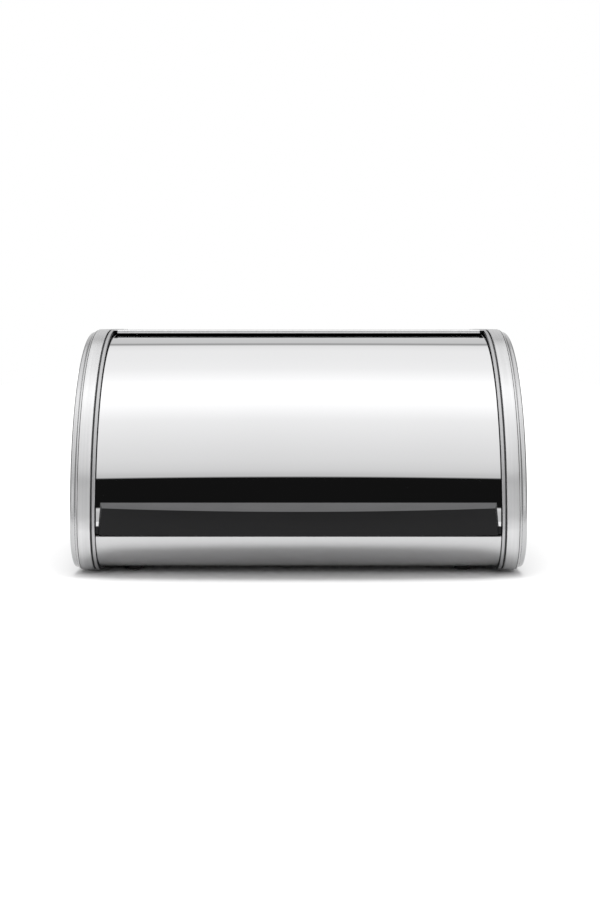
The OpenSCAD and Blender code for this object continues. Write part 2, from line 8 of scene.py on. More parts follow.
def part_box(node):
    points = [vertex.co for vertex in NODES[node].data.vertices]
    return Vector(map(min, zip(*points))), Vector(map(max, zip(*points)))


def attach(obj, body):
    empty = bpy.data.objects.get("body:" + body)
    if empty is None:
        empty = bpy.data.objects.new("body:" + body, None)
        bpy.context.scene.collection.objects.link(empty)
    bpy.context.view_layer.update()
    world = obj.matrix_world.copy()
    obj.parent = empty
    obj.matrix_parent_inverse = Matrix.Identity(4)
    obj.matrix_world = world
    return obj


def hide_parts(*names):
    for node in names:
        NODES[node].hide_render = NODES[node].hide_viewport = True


bl_info = {
    "name": "Roll-top bread box",
    "version": (1, 0, 0),
    "blender": (4, 5, 0),
    "location": "View3D > Sidebar > Bread box",
    "description": "Dresses a steel bread box with a roll top: sheets, end caps, lid, handle and studio",
    "category": "Object",
}

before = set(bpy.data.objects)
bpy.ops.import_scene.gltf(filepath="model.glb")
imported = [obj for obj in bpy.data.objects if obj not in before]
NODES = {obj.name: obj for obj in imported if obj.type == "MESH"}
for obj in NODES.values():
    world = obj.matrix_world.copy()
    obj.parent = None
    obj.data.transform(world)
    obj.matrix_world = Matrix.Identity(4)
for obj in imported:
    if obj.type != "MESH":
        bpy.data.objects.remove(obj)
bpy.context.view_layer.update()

# The line of the lid's pivots. The lid's sheet is round about it.
PIN_LOW, PIN_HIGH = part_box("right_pivot_pin")
PIVOT_Y = (PIN_LOW.y + PIN_HIGH.y) / 2
PIVOT_Z = (PIN_LOW.z + PIN_HIGH.z) / 2

WELD = 1e-6  # Corners closer than this are one corner.
SAME_LEVEL = 2e-5  # Corners within this of a level belong to it.
DIGITS = 5  # Decimals in metres that tell one level from the next
SHARP_ANGLE = math.radians(32)  # Edges above this angle are shaded sharp.
THREAD_ROWS = 5  # Rows of corners along one turn of a thread
DOME_ROWS = 7  # Rows of faces from a rivet's crown to its rim
RIM_ROWS = 12  # Rows of faces round a cover's outer rounding
LEAST_ROUNDING = 1e-4  # A cover's outer rounding is deeper than this.
LEAST_OUTWARD = 0.2  # How much a cover's outer face looks away from its inside, at least


# ---------------------------------------------------------------- settings

def colour_setting(name, description, default):
    return bpy.props.FloatVectorProperty(
        name=name, description=description, default=default, size=3,
        min=0.0, max=1.0, subtype="COLOR")


def size_setting(name, description, default, low, high):
    return bpy.props.FloatProperty(
        name=name, description=description, default=default, min=low, max=high,
        subtype="DISTANCE", unit="LENGTH", precision=5)


def share_setting(name, description, default):
    return bpy.props.FloatProperty(
        name=name, description=description, default=default, min=0.0, max=1.0,
        subtype="FACTOR")


class BreadBoxSteel(bpy.types.PropertyGroup):
    mirror_colour: colour_setting(
        "Mirror steel", "Colour of the polished lid", (0.63, 0.63, 0.635))
    # Painted shade: the apron is the lid's polished steel made darker, so its reflection of the floor
    # and the shadow below it come out darker.
    apron_shaded_colour: colour_setting(
        "Apron", "Colour of the polished apron below the lid", (0.57, 0.57, 0.575))
    mirror_roughness: share_setting(
        "Mirror roughness", "Roughness of the polished steel where it is clean", 0.02)
    smudge: share_setting(
        "Smudges", "How much wiping marks roughen the polished steel", 0.3)
    band_colour: colour_setting(
        "Brushed bands", "Colour of the brushed cap bands", (0.64, 0.64, 0.645))
    band_roughness: share_setting(
        "Band roughness", "Roughness of the brushed cap bands", 0.34)
    cover_colour: colour_setting(
        "End covers", "Colour of the brushed end covers", (0.47, 0.47, 0.475))
    cover_roughness: share_setting(
        "Cover roughness", "Roughness of the brushed end covers", 0.16)
    trim_colour: colour_setting(
        "Trim beads", "Colour of the trim beads beside the lid", (0.42, 0.42, 0.425))
    trim_roughness: share_setting(
        "Trim roughness", "Roughness of the trim beads", 0.36)
    top_colour: colour_setting(
        "Top and back", "Colour of the top and back sheet", (0.7, 0.7, 0.705))
    top_roughness: share_setting(
        "Top roughness", "Roughness of the top and back sheet", 0.16)
    satin_colour: colour_setting(
        "Satin steel", "Colour of the floor pan, the lid's arms and its brace",
        (0.6, 0.6, 0.605))
    satin_roughness: share_setting(
        "Satin roughness", "Roughness of the satin steel", 0.33)
    line_width: size_setting(
        "Brush line", "Spacing of the brushing lines", 0.00028, 0.00005, 0.002)
    fastener_colour: colour_setting(
        "Fasteners", "Colour of screws, rivets and pins", (0.52, 0.52, 0.51))


class BreadBoxMouldings(bpy.types.PropertyGroup):
    handle_colour: colour_setting(
        "Handle", "Colour of the handle and the pivot bushes", (0.004, 0.004, 0.0045))
    handle_roughness: share_setting(
        "Handle roughness", "Roughness of the handle's moulded skin", 0.4)
    # Dust and painted sheen: faces that look up are painted this lighter colour, as if lit from above.
    dust_and_sheen_colour: colour_setting(
        "Dust", "Colour of the fine dust on faces that look up", (0.074, 0.074, 0.076))
    handle_edge: size_setting(
        "Handle edge", "Rounding of the handle's edges", 0.0011, 0.0002, 0.003)
    panel_colour: colour_setting(
        "End panels", "Colour of the moulded end panels", (0.05, 0.05, 0.052))
    rubber_colour: colour_setting(
        "Rubber", "Colour of feet, pads and stops", (0.02, 0.02, 0.02))
    grain_size: size_setting(
        "Moulded grain", "Size of the moulded skin's grain", 0.0005, 0.0001, 0.003)


class BreadBoxStage(bpy.types.PropertyGroup):
    camera_height: size_setting(
        "Camera height", "Height of the camera above the floor", 0.2456, 0.05, 2.0)
    camera_distance: size_setting(
        "Camera distance", "Distance from the camera to the box's front", 1.543, 0.5, 6.0)
    camera_aside: size_setting(
        "Camera aside", "How far the camera stands to the right of the middle", 0.00144, -1.0, 1.0)
    camera_tilt: bpy.props.FloatProperty(
        name="Camera tilt", description="How far the camera looks down",
        default=math.radians(4.46), min=0.0, max=math.radians(60), subtype="ANGLE",
        unit="ROTATION")
    lens: bpy.props.FloatProperty(
        name="Lens", description="Focal length of the camera", default=64.12, min=20.0,
        max=200.0, unit="CAMERA")
    floor_colour: colour_setting(
        "Floor", "Colour of the studio floor", (0.8, 0.8, 0.8))
    floor_width: size_setting(
        "Floor width", "Width of the paper that the box stands on", 2.4, 1.0, 20.0)
    floor_length: size_setting(
        "Floor length", "Length of the paper that the box stands on", 12.0, 4.0, 60.0)
    floor_ahead: size_setting(
        "Floor ahead", "How far the paper reaches in front of the box's middle", 1.25, 0.5, 10.0)
    key_strength: bpy.props.FloatProperty(
        name="Key light", description="Strength of the soft light from above the front",
        default=1.3, min=0.0, max=10.0)


SETTINGS = {
    "bread_box_steel": BreadBoxSteel,
    "bread_box_mouldings": BreadBoxMouldings,
    "bread_box_stage": BreadBoxStage,
}


# ---------------------------------------------------------------- node helpers

def add_node(tree, kind, x, y, **values):
    """A node of a tree with its settings, at a place in the node editor."""
    made = tree.nodes.new(kind)
    made.location = (x * 190, y * 150)
    for key, value in values.items():
        setattr(made, key, value)
    return made


def feed(tree, slot, value):
    """Links an output to an input, or sets the input to a plain value."""
    if isinstance(value, bpy.types.NodeSocket):
        tree.links.new(value, slot)
    else:
        slot.default_value = value


def work_out(tree, operation, x, y, *inputs):
    """A Math node whose inputs are sockets or numbers. Gives its output."""
    made = add_node(tree, "ShaderNodeMath", x, y, operation=operation)
    for slot, value in zip(made.inputs, inputs):
        feed(tree, slot, value)
    return made.outputs[0]


def spread(tree, value, x, y, source, target=(0.0, 1.0)):
    """A Map Range node that carries a value from one (low, high) to another. Gives its output."""
    made = add_node(tree, "ShaderNodeMapRange", x, y)
    feed(tree, made.inputs["Value"], value)
    for key, limit in zip(("From Min", "From Max", "To Min", "To Max"), (*source, *target)):
        made.inputs[key].default_value = limit
    return made.outputs["Result"]


def blend(tree, x, y, factor, below, above):
    """A Mix node for two colours, each a socket or a plain colour. Gives the mixed colour."""
    made = add_node(tree, "ShaderNodeMix", x, y, data_type="RGBA")
    for key, value in (("Factor", factor), ("A", below), ("B", above)):
        feed(tree, made.inputs[key], value)
    return made.outputs["Result"]


def noise(tree, place, x, y, scale, detail, distortion=0.0):
    """A Noise Texture node read at a place. Gives its value."""
    made = add_node(tree, "ShaderNodeTexNoise", x, y)
    for key, value in (("Scale", scale), ("Detail", detail), ("Distortion", distortion),
                       ("Vector", place)):
        feed(tree, made.inputs[key], value)
    return made.outputs["Fac"]


def parts_of(tree, vector, x, y):
    """Outputs for the X, Y and Z of a vector."""
    made = add_node(tree, "ShaderNodeSeparateXYZ", x, y)
    tree.links.new(vector, made.inputs[0])
    return made.outputs


def grey(level):
    """A grey as a node's colour input takes it."""
    return (level, level, level, 1.0)


def new_group(name, inputs, outputs):
    """An empty shader node group with named sockets."""
    group = bpy.data.node_groups.new(name, "ShaderNodeTree")
    for label, kind, default in inputs:
        socket = group.interface.new_socket(label, in_out="INPUT", socket_type=kind)
        if default is not None:
            socket.default_value = default
    for label, kind in outputs:
        group.interface.new_socket(label, in_out="OUTPUT", socket_type=kind)
    start = add_node(group, "NodeGroupInput", -6, 0)
    end = add_node(group, "NodeGroupOutput", 6, 0)
    return group, start.outputs, end.inputs


def brushing_group():
    """Brushing: fine lines that run round the box on the rims and along it on flat ends."""
    name = "Brushed lines"
    if name in bpy.data.node_groups:
        return bpy.data.node_groups[name]
    group, given, wanted = new_group(
        name,
        [("Position", "NodeSocketVector", None), ("Facing", "NodeSocketVector", None),
         ("Line Width", "NodeSocketFloat", 0.0003)],
        [("Lines", "NodeSocketFloat"), ("Streaks", "NodeSocketFloat")])
    place = parts_of(group, given["Position"], -5, 1)
    face = parts_of(group, given["Facing"], -5, -2)
    end_on = work_out(group, "GREATER_THAN", -3, -2,
                      work_out(group, "ABSOLUTE", -4, -2, face["X"]), 0.7)
    across = add_node(group, "ShaderNodeMix", -2, 0, data_type="FLOAT")
    for key, value in (("Factor", end_on), ("A", place["X"]), ("B", place["Z"])):
        feed(group, across.inputs[key], value)
    fine = work_out(group, "DIVIDE", -1, 0, across.outputs["Result"], given["Line Width"])
    along = work_out(group, "ADD", -1, 2,
                     work_out(group, "MULTIPLY", -2, 2, place["Y"], 9.0),
                     work_out(group, "MULTIPLY", -2, 3, place["Z"], 7.0))
    for label, squeeze, stretch, row in (("Lines", 1.0, 1.0, 1), ("Streaks", 0.12, 0.5, -1)):
        spot = add_node(group, "ShaderNodeCombineXYZ", 1, row)
        feed(group, spot.inputs["X"], work_out(group, "MULTIPLY", 0, row, fine, squeeze))
        feed(group, spot.inputs["Y"], work_out(group, "MULTIPLY", 0, row + 0.5, along, stretch))
        feed(group, wanted[label], noise(group, spot.outputs[0], 3, row, scale=1.0, detail=3.0))
    return group


def in_units(group, given):
    """A group's Position, counted in its Size. Gives its output."""
    scaled = add_node(group, "ShaderNodeVectorMath", -3, 0, operation="SCALE")
    feed(group, scaled.inputs[0], given["Position"])
    feed(group, scaled.inputs["Scale"], work_out(group, "DIVIDE", -4, -1, 1.0, given["Size"]))
    return scaled.outputs[0]


def smudge_group():
    """Wiping marks: broad soft patches with short wiped strokes in them."""
    name = "Wiping marks"
    if name in bpy.data.node_groups:
        return bpy.data.node_groups[name]
    group, given, wanted = new_group(
        name,
        [("Position", "NodeSocketVector", None), ("Size", "NodeSocketFloat", 0.05)],
        [("Marks", "NodeSocketFloat"), ("Waves", "NodeSocketFloat")])
    place = in_units(group, given)
    stretched = add_node(group, "ShaderNodeMapping", -2, -1)
    feed(group, stretched.inputs["Vector"], place)
    stretched.inputs["Scale"].default_value = (1.4, 9.0, 9.0)
    stretched.inputs["Rotation"].default_value = (0.3, 0.1, 0.35)
    patches = noise(group, place, -1, 1, scale=1.0, detail=5.0, distortion=0.8)
    strokes = noise(group, stretched.outputs[0], -1, -1, scale=1.0, detail=4.0)
    marks = work_out(group, "MULTIPLY", 3, 0, spread(group, patches, 1, 1, (0.48, 0.78)),
                     spread(group, strokes, 1, -1, (0.42, 0.75), (0.2, 1.0)))
    feed(group, wanted["Marks"], marks)
    feed(group, wanted["Waves"], noise(group, place, 1, -3, scale=0.45, detail=1.0))
    return group


def grain_group():
    """Moulded grain: the fine pebbled skin of a moulding, with faint flow shading."""
    name = "Moulded grain"
    if name in bpy.data.node_groups:
        return bpy.data.node_groups[name]
    group, given, wanted = new_group(
        name,
        [("Position", "NodeSocketVector", None), ("Size", "NodeSocketFloat", 0.0005)],
        [("Pebbles", "NodeSocketFloat"), ("Flow", "NodeSocketFloat")])
    place = in_units(group, given)
    cells = add_node(group, "ShaderNodeTexVoronoi", -1, 1, feature="SMOOTH_F1")
    for key, value in (("Scale", 1.0), ("Smoothness", 0.6), ("Vector", place)):
        feed(group, cells.inputs[key], value)
    feed(group, wanted["Pebbles"], cells.outputs["Distance"])
    feed(group, wanted["Flow"], noise(group, place, -1, -1, scale=0.012, detail=4.0))
    return group


def place_group(tree, group, x, y, **values):
    """Puts a node group into a material and gives the node."""
    made = add_node(tree, "ShaderNodeGroup", x, y, node_tree=group)
    for key, value in values.items():
        feed(tree, made.inputs[key.replace("_", " ")], value)
    return made


def new_material(name, metallic, roughness):
    """A material with one Principled shader, its coordinates and its facing."""
    made = bpy.data.materials.new(name)
    made.use_nodes = True
    tree = made.node_tree
    tree.nodes.clear()
    shader = add_node(tree, "ShaderNodeBsdfPrincipled", 5, 0)
    shader.inputs["Metallic"].default_value = metallic
    shader.inputs["Roughness"].default_value = roughness
    end = add_node(tree, "ShaderNodeOutputMaterial", 7, 0)
    tree.links.new(shader.outputs[0], end.inputs["Surface"])
    where = add_node(tree, "ShaderNodeTexCoord", -6, 0)
    return made, tree, shader, where


def tint(tree, value, x, y, colour, low, high):
    """A colour times low where a value is 0, and times high where it is 1. Gives its output."""
    ramp = add_node(tree, "ShaderNodeValToRGB", x, y)
    feed(tree, ramp.inputs["Fac"], value)
    for element, share in zip(ramp.color_ramp.elements, (low, high)):
        element.color = (*[min(1.0, part * share) for part in colour], 1.0)
    return ramp.outputs["Color"]


def bump(tree, height, x, y, strength, distance):
    """A Bump node for a height. Gives its normal."""
    made = add_node(tree, "ShaderNodeBump", x, y)
    for key, value in (("Strength", strength), ("Distance", distance), ("Height", height)):
        feed(tree, made.inputs[key], value)
    return made.outputs["Normal"]


# ---------------------------------------------------------------- materials

def mirror_steel(name, colour):
    """Polished steel with wiping marks and the slight waves of thin sheet."""
    if name in bpy.data.materials:
        return bpy.data.materials[name]
    look = bpy.context.scene.bread_box_steel
    clean, worst = look.mirror_roughness, look.mirror_roughness + 0.16 * look.smudge
    made, tree, shader, where = new_material(name, metallic=1.0, roughness=clean)
    marks = place_group(tree, smudge_group(), -3, 0, Position=where.outputs["Object"], Size=0.06)
    waves = marks.outputs["Waves"]
    feed(tree, shader.inputs["Roughness"],
         spread(tree, marks.outputs["Marks"], 0, -1, (0.0, 1.0), (clean, worst)))
    feed(tree, shader.inputs["Base Color"],
         tint(tree, waves, 0, 1, colour, low=0.985, high=1.015))
    feed(tree, shader.inputs["Normal"],
         bump(tree, waves, 2, -3, strength=0.04, distance=0.0004))
    return made


def brushed_steel(name, colour, roughness, depth, drawn_out=0.0):
    """Steel brushed in fine lines, with darker and lighter streaks.

    depth is how strongly the lines show in reflections. drawn_out is how much reflections
    spread across lines that run round the box.
    """
    if name in bpy.data.materials:
        return bpy.data.materials[name]
    look = bpy.context.scene.bread_box_steel
    made, tree, shader, where = new_material(name, metallic=1.0, roughness=roughness)
    brushing = place_group(tree, brushing_group(), -3, 0, Position=where.outputs["Object"],
                           Facing=where.outputs["Normal"], Line_Width=look.line_width)
    marks = place_group(tree, smudge_group(), -3, -3, Position=where.outputs["Object"], Size=0.03)
    feed(tree, shader.inputs["Base Color"],
         tint(tree, brushing.outputs["Streaks"], 0, 2, colour, low=0.88, high=1.12))
    lined = spread(tree, brushing.outputs["Lines"], -1, -1, (0.3, 0.7),
                   (0.88 * roughness, 1.15 * roughness))
    marked = work_out(tree, "MULTIPLY", 0, -2, marks.outputs["Marks"], 0.07)
    feed(tree, shader.inputs["Roughness"], work_out(tree, "ADD", 1, -1, lined, marked))
    feed(tree, shader.inputs["Normal"],
         bump(tree, brushing.outputs["Lines"], 2, -3, strength=depth, distance=0.00003))
    if drawn_out:
        round_x = add_node(tree, "ShaderNodeTangent", 3, -5, direction_type="RADIAL", axis="X")
        for key, value in (("Anisotropic", drawn_out), ("Anisotropic Rotation", 0.25),
                           ("Tangent", round_x.outputs[0])):
            feed(tree, shader.inputs[key], value)
    return made


def moulded_skin(name, colour, roughness, depth, gloss=0.5):
    """Moulded plastic with a fine pebbled skin, lighter on what looks up: a little dust and a painted
    sheen.

    depth is how strongly the pebbles show, gloss how much the surface reflects.
    """
    if name in bpy.data.materials:
        return bpy.data.materials[name]
    look = bpy.context.scene.bread_box_mouldings
    made, tree, shader, where = new_material(name, metallic=0.0, roughness=roughness)
    shader.inputs["Specular IOR Level"].default_value = gloss
    grain = place_group(tree, grain_group(), -3, 0, Position=where.outputs["Object"],
                        Size=look.grain_size)
    flow = grain.outputs["Flow"]
    facing = parts_of(tree, where.outputs["Normal"], -3, 3)
    # Painted sheen with dust: faces that look up blend towards a lighter colour, standing in for the
    # light they catch from above.
    dust_and_sheen = work_out(tree, "MULTIPLY", 1, 3, spread(tree, facing["Z"], -1, 3, (0.7, 0.95)),
                     spread(tree, flow, -1, 4, (0.3, 0.7), (0.75, 1.0)))
    bare = tint(tree, flow, 0, 1, colour, low=0.8, high=1.25)
    feed(tree, shader.inputs["Base Color"],
         blend(tree, 3, 2, dust_and_sheen, bare, (*look.dust_and_sheen_colour, 1.0)))
    feed(tree, shader.inputs["Roughness"],
         spread(tree, flow, 0, -1, (0.3, 0.7), (roughness - 0.05, roughness + 0.07)))
    feed(tree, shader.inputs["Normal"],
         bump(tree, grain.outputs["Pebbles"], 2, -3, strength=depth, distance=0.00008))
    return made


def rubber():
    """Dull black rubber, lighter where it looks up: dust and a painted sheen."""
    look = bpy.context.scene.bread_box_mouldings
    return moulded_skin("Rubber", look.rubber_colour, roughness=0.78, depth=0.35)


def fastener_steel():
    """Plated steel of screws, rivets and pins, dulled in small patches."""
    name = "Fastener steel"
    if name in bpy.data.materials:
        return bpy.data.materials[name]
    look = bpy.context.scene.bread_box_steel
    made, tree, shader, where = new_material(name, metallic=1.0, roughness=0.3)
    marks = place_group(tree, smudge_group(), -3, 0, Position=where.outputs["Object"],
                        Size=0.004).outputs["Marks"]
    feed(tree, shader.inputs["Base Color"],
         tint(tree, marks, 0, 1, look.fastener_colour, low=1.05, high=0.75))
    feed(tree, shader.inputs["Roughness"],
         spread(tree, marks, 0, -1, (0.0, 1.0), (0.25, 0.45)))
    return made


# ---------------------------------------------------------------- mesh helpers

def coat(nodes, material):
    """Gives CAD nodes a material in place of their plain ones."""
    for name in nodes:
        piece = NODES[name]
        piece.data.materials.clear()
        piece.data.materials.append(material)


def joined_copy(node):
    """A CAD node's mesh with the faces that share an edge joined again, as a bmesh."""
    mesh = bmesh.new()
    mesh.from_mesh(NODES[node].data)
    bmesh.ops.remove_doubles(mesh, verts=mesh.verts, dist=WELD)
    bmesh.ops.dissolve_degenerate(mesh, edges=mesh.edges, dist=WELD)
    return mesh


def separate_solids(node):
    """The corner points of each solid of a CAD node."""
    mesh = joined_copy(node)
    mesh.verts.index_update()
    seen = set()
    solids = []
    for first in mesh.verts:
        if first.index in seen:
            continue
        seen.add(first.index)
        waiting, corners = [first], []
        while waiting:
            corner = waiting.pop()
            corners.append(corner.co.copy())
            for edge in corner.link_edges:
                other = edge.other_vert(corner)
                if other.index not in seen:
                    seen.add(other.index)
                    waiting.append(other)
        solids.append(corners)
    mesh.free()
    return solids


# Turned pieces are laid out in shares of radii and heights measured on the CAD's solids.

class RoundSolid:
    """Axis, length, steps and radii of a round CAD solid, measured from its start along z."""

    def __init__(self, corners, axis):
        side = axis.orthogonal().normalized()
        up = axis.cross(side)
        spans = [(min(values), max(values))
                 for values in ([c.dot(way) for c in corners] for way in (side, up, axis))]
        self.place = Matrix((side, up, axis)).transposed().to_4x4()
        self.place.translation = (side * sum(spans[0]) / 2 + up * sum(spans[1]) / 2
                                  + axis * spans[2][0])
        inside = self.place.inverted()
        self.points = [inside @ c for c in corners]
        self.length = spans[2][1] - spans[2][0]
        self.steps = sorted({round(point.z, DIGITS) for point in self.points})

    def radii(self, step):
        """How far from the axis the corners at one of its steps are."""
        return [math.hypot(point.x, point.y) for point in self.points
                if abs(point.z - self.steps[step]) < SAME_LEVEL]

    def radius(self, step):
        """The solid's radius at one of its steps."""
        return max(self.radii(step))

    def narrowest(self, step):
        """The smaller of two radii that meet at one of its steps."""
        return min(self.radii(step))


def turned(mesh, place, profile, segments=40, pitch=0.0):
    """Adds a shape turned about z from [radius, height, thread depth] points. Gives its rings."""
    rings = []
    for radius, height, *depth in profile:
        if radius < WELD:
            rings.append([mesh.verts.new(place @ Vector((0.0, 0.0, height)))])
            continue
        ring = []
        for i in range(segments):
            turn = i / segments
            cut = 0.0
            if depth:
                wave = (height / pitch - turn) % 1.0
                cut = depth[0] * abs(2.0 * wave - 1.0)
            angle = 2 * math.pi * turn
            ring.append(mesh.verts.new(place @ Vector((
                (radius - cut) * math.cos(angle), (radius - cut) * math.sin(angle), height))))
        rings.append(ring)
    for low, high in zip(rings, rings[1:]):
        for i in range(segments):
            j = (i + 1) % segments
            corners = [low[i % len(low)], low[j % len(low)], high[j % len(high)],
                       high[i % len(high)]]
            mesh.faces.new(list(dict.fromkeys(corners)))
    return rings


def thread(radius, start, end, depth, pitch):
    """The profile points of a thread on a screw's shank."""
    count = int(THREAD_ROWS * (end - start) / pitch)
    return [(radius, start + (end - start) * i / count, depth) for i in range(count + 1)]


def cross_screw(mesh, solid):
    """Adds a pan-head screw with a cross recess, in the place of a round solid."""
    head, shank = solid.radius(0), solid.narrowest(1)
    drop, length = solid.steps[1], solid.length
    pitch = 0.55 * shank
    rings = turned(mesh, solid.place, [
        (0.62 * head, 0.0), (0.8 * head, 0.05 * drop), (0.93 * head, 0.2 * drop),
        (0.99 * head, 0.45 * drop), (head, 0.7 * drop), (head, 0.94 * drop),
        (0.97 * head, drop), (shank, drop),
        *thread(shank, drop + 0.3 * pitch, length - 1.6 * shank, 0.2 * shank, pitch),
        (0.45 * shank, length - 0.4 * shank), (0.0, length)], pitch=pitch)
    arm, half = 0.46 * head, 0.11 * head
    cross = [(arm, -half), (arm, half), (half, half), (half, arm), (-half, arm), (-half, half),
             (-arm, half), (-arm, -half), (-half, -half), (-half, -arm), (half, -arm),
             (half, -half)]
    upper = [mesh.verts.new(solid.place @ Vector((x, y, 0.0))) for x, y in cross]
    lower = [mesh.verts.new(solid.place @ Vector((0.6 * x, 0.6 * y, 0.62 * drop)))
             for x, y in cross]
    edges = []
    for i in range(len(cross)):
        mesh.faces.new((upper[i - 1], upper[i], lower[i], lower[i - 1]))
        edges.append(mesh.edges.get((upper[i - 1], upper[i])))
    mesh.faces.new(lower)
    edges.extend(mesh.edges.get((rings[0][i - 1], rings[0][i])) for i in range(len(rings[0])))
    bmesh.ops.triangle_fill(mesh, edges=edges, use_beauty=True)


def quarter_turn(rows):
    """The angles from 0 to a right angle in even steps."""
    return [math.pi / 2 * row / rows for row in range(rows + 1)]


def domed_rivet(mesh, solid):
    """Adds a rivet with a domed head at each end, in the place of a round solid."""
    head, shank, length = solid.radius(0), solid.narrowest(1), solid.length
    rise = solid.steps[1]
    dome = [(head * math.sin(turn), rise * (1.0 - math.cos(turn)))
            for turn in quarter_turn(DOME_ROWS)]
    turned(mesh, solid.place, [
        *dome, (0.98 * head, rise), (shank, rise), (shank, length - rise),
        (0.98 * head, length - rise), *[(radius, length - z) for radius, z in reversed(dome)]])


def rim_start(mesh, side, face_x):
    """Where along x a cover's outer rounding starts, which is as deep as it is high."""
    lowest = {}
    for corner in mesh.verts:
        across = round(side * corner.co.x, DIGITS)
        lowest[across] = min(corner.co.z, lowest.get(across, math.inf))
    face_z = lowest[round(face_x, DIGITS)]
    return min((across for across in lowest if across < face_x - LEAST_ROUNDING),
               key=lambda across: abs((face_x - across) - (face_z - lowest[across])))


def rounded_faces(mesh, side, start_x, middle):
    """A cover's outer faces from the start of its rounding on, its flat side with them."""
    found = []
    for face in mesh.faces:
        if min(side * corner.co.x for corner in face.verts) > start_x - SAME_LEVEL:
            centre = face.calc_center_median()
            away = (Vector((centre.y, centre.z)) - middle).normalized()
            outward = side * face.normal.x + face.normal.y * away.x + face.normal.z * away.y
            if outward > LEAST_OUTWARD:
                found.append(face)
    return found


def inset_ring(mesh, outline, middle, inset, x):
    """Adds a ring of corners at x, set in from an outline by the same distance all round."""
    ring = []
    for i, spot in enumerate(outline):
        along = (outline[(i + 1) % len(outline)] - outline[i - 1]).normalized()
        out = Vector((along.y, -along.x))
        if out.dot(spot - middle) < 0:
            out = -out
        place = spot - out * inset
        ring.append(mesh.verts.new((x, place.x, place.y)))
    return ring


def even_rim(node):
    """A cover's mesh whose outer rounding and flat side are laid out again in even rows."""
    mesh = joined_copy(node)
    side = math.copysign(1.0, sum(corner.co.x for corner in mesh.verts))
    face_x = max(side * corner.co.x for corner in mesh.verts)
    start_x = rim_start(mesh, side, face_x)
    rounding = face_x - start_x
    level = [Vector((corner.co.y, corner.co.z)) for corner in mesh.verts
             if abs(side * corner.co.x - start_x) < SAME_LEVEL]
    outline = [level[i] for i in geometry.convex_hull_2d(level)]
    middle = sum(outline, Vector((0.0, 0.0))) / len(outline)
    bmesh.ops.delete(mesh, geom=rounded_faces(mesh, side, start_x, middle), context="FACES")
    rows = [inset_ring(mesh, outline, middle, rounding * (1.0 - math.cos(turn)),
                       side * (start_x + rounding * math.sin(turn)))
            for turn in quarter_turn(RIM_ROWS)]
    for low, high in zip(rows, rows[1:]):
        for i in range(len(outline)):
            mesh.faces.new((low[i - 1], low[i], high[i], high[i - 1]))
    mesh.faces.new(rows[-1])
    bmesh.ops.remove_doubles(mesh, verts=mesh.verts, dist=WELD)
    return mesh


def new_piece(name, mesh, material, body, replaced):
    """An object of a bmesh that rides on a body and stands for CAD nodes."""
    bmesh.ops.recalc_face_normals(mesh, faces=mesh.faces)
    for face in mesh.faces:
        face.smooth = True
    data = bpy.data.meshes.new(name)
    mesh.to_mesh(data)
    mesh.free()
    data.set_sharp_from_angle(angle=SHARP_ANGLE)
    data.materials.append(material)
    piece = bpy.data.objects.new(name, data)
    bpy.context.scene.collection.objects.link(piece)
    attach(piece, body)
    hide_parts(*replaced)
    return piece


# ---------------------------------------------------------------- operators

class BREADBOX_OT_body_sheets(bpy.types.Operator):
    """Satin finish of the top and back sheet, the floor pan and the lid's arms and brace"""
    bl_idname = "bread_box.body_sheets"
    bl_label = "Body sheets"

    def execute(self, context):
        look = context.scene.bread_box_steel
        outside = brushed_steel("Fine satin steel", look.top_colour, look.top_roughness,
                                depth=0.12)
        coat(["body_wrap"], outside)
        satin = brushed_steel("Satin steel", look.satin_colour, look.satin_roughness,
                              depth=0.25)
        coat(["floor_pan", "left_lid_arm", "right_lid_arm", "lid_brace"], satin)
        return {"FINISHED"}


class BREADBOX_OT_end_caps(bpy.types.Operator):
    """Brushed bands and covers of the end caps, their moulded panels and their bright trim"""
    bl_idname = "bread_box.end_caps"
    bl_label = "End caps"

    def execute(self, context):
        look = context.scene.bread_box_steel
        moulding = context.scene.bread_box_mouldings
        bands = brushed_steel("Brushed bands", look.band_colour, look.band_roughness,
                              depth=0.35, drawn_out=1.0)
        covers = brushed_steel("Brushed covers", look.cover_colour, look.cover_roughness,
                               depth=0.12)
        panels = moulded_skin("Grey moulding", moulding.panel_colour, roughness=0.5, depth=0.3)
        coat(["left_cap_band", "right_cap_band"], bands)
        for node in ("left_cap_cover", "right_cap_cover"):
            cover = new_piece(f"rolled_{node}", even_rim(node), covers, "housing",
                              [node])
            flat_side = max(cover.data.polygons, key=lambda face: face.area)
            flat_side.use_smooth = False
        coat(["left_end_panel", "right_end_panel"], panels)
        trim = brushed_steel("Trim steel", look.trim_colour, look.trim_roughness, depth=0.1)
        coat(["left_trim_bead", "right_trim_bead"], trim)
        return {"FINISHED"}


class BREADBOX_OT_lid(bpy.types.Operator):
    """Mirror finish of the lid and of the apron below it, the apron's in a darker copy as painted shade
    """
    bl_idname = "bread_box.lid"
    bl_label = "Lid and apron"

    def execute(self, context):
        look = context.scene.bread_box_steel
        coat(["lid_sheet"], mirror_steel("Mirror polished steel", look.mirror_colour))
        # Painted shade: the apron gets a darker copy of the lid's polished steel.
        coat(["front_apron"], mirror_steel("Polished apron steel", look.apron_shaded_colour))
        return {"FINISHED"}


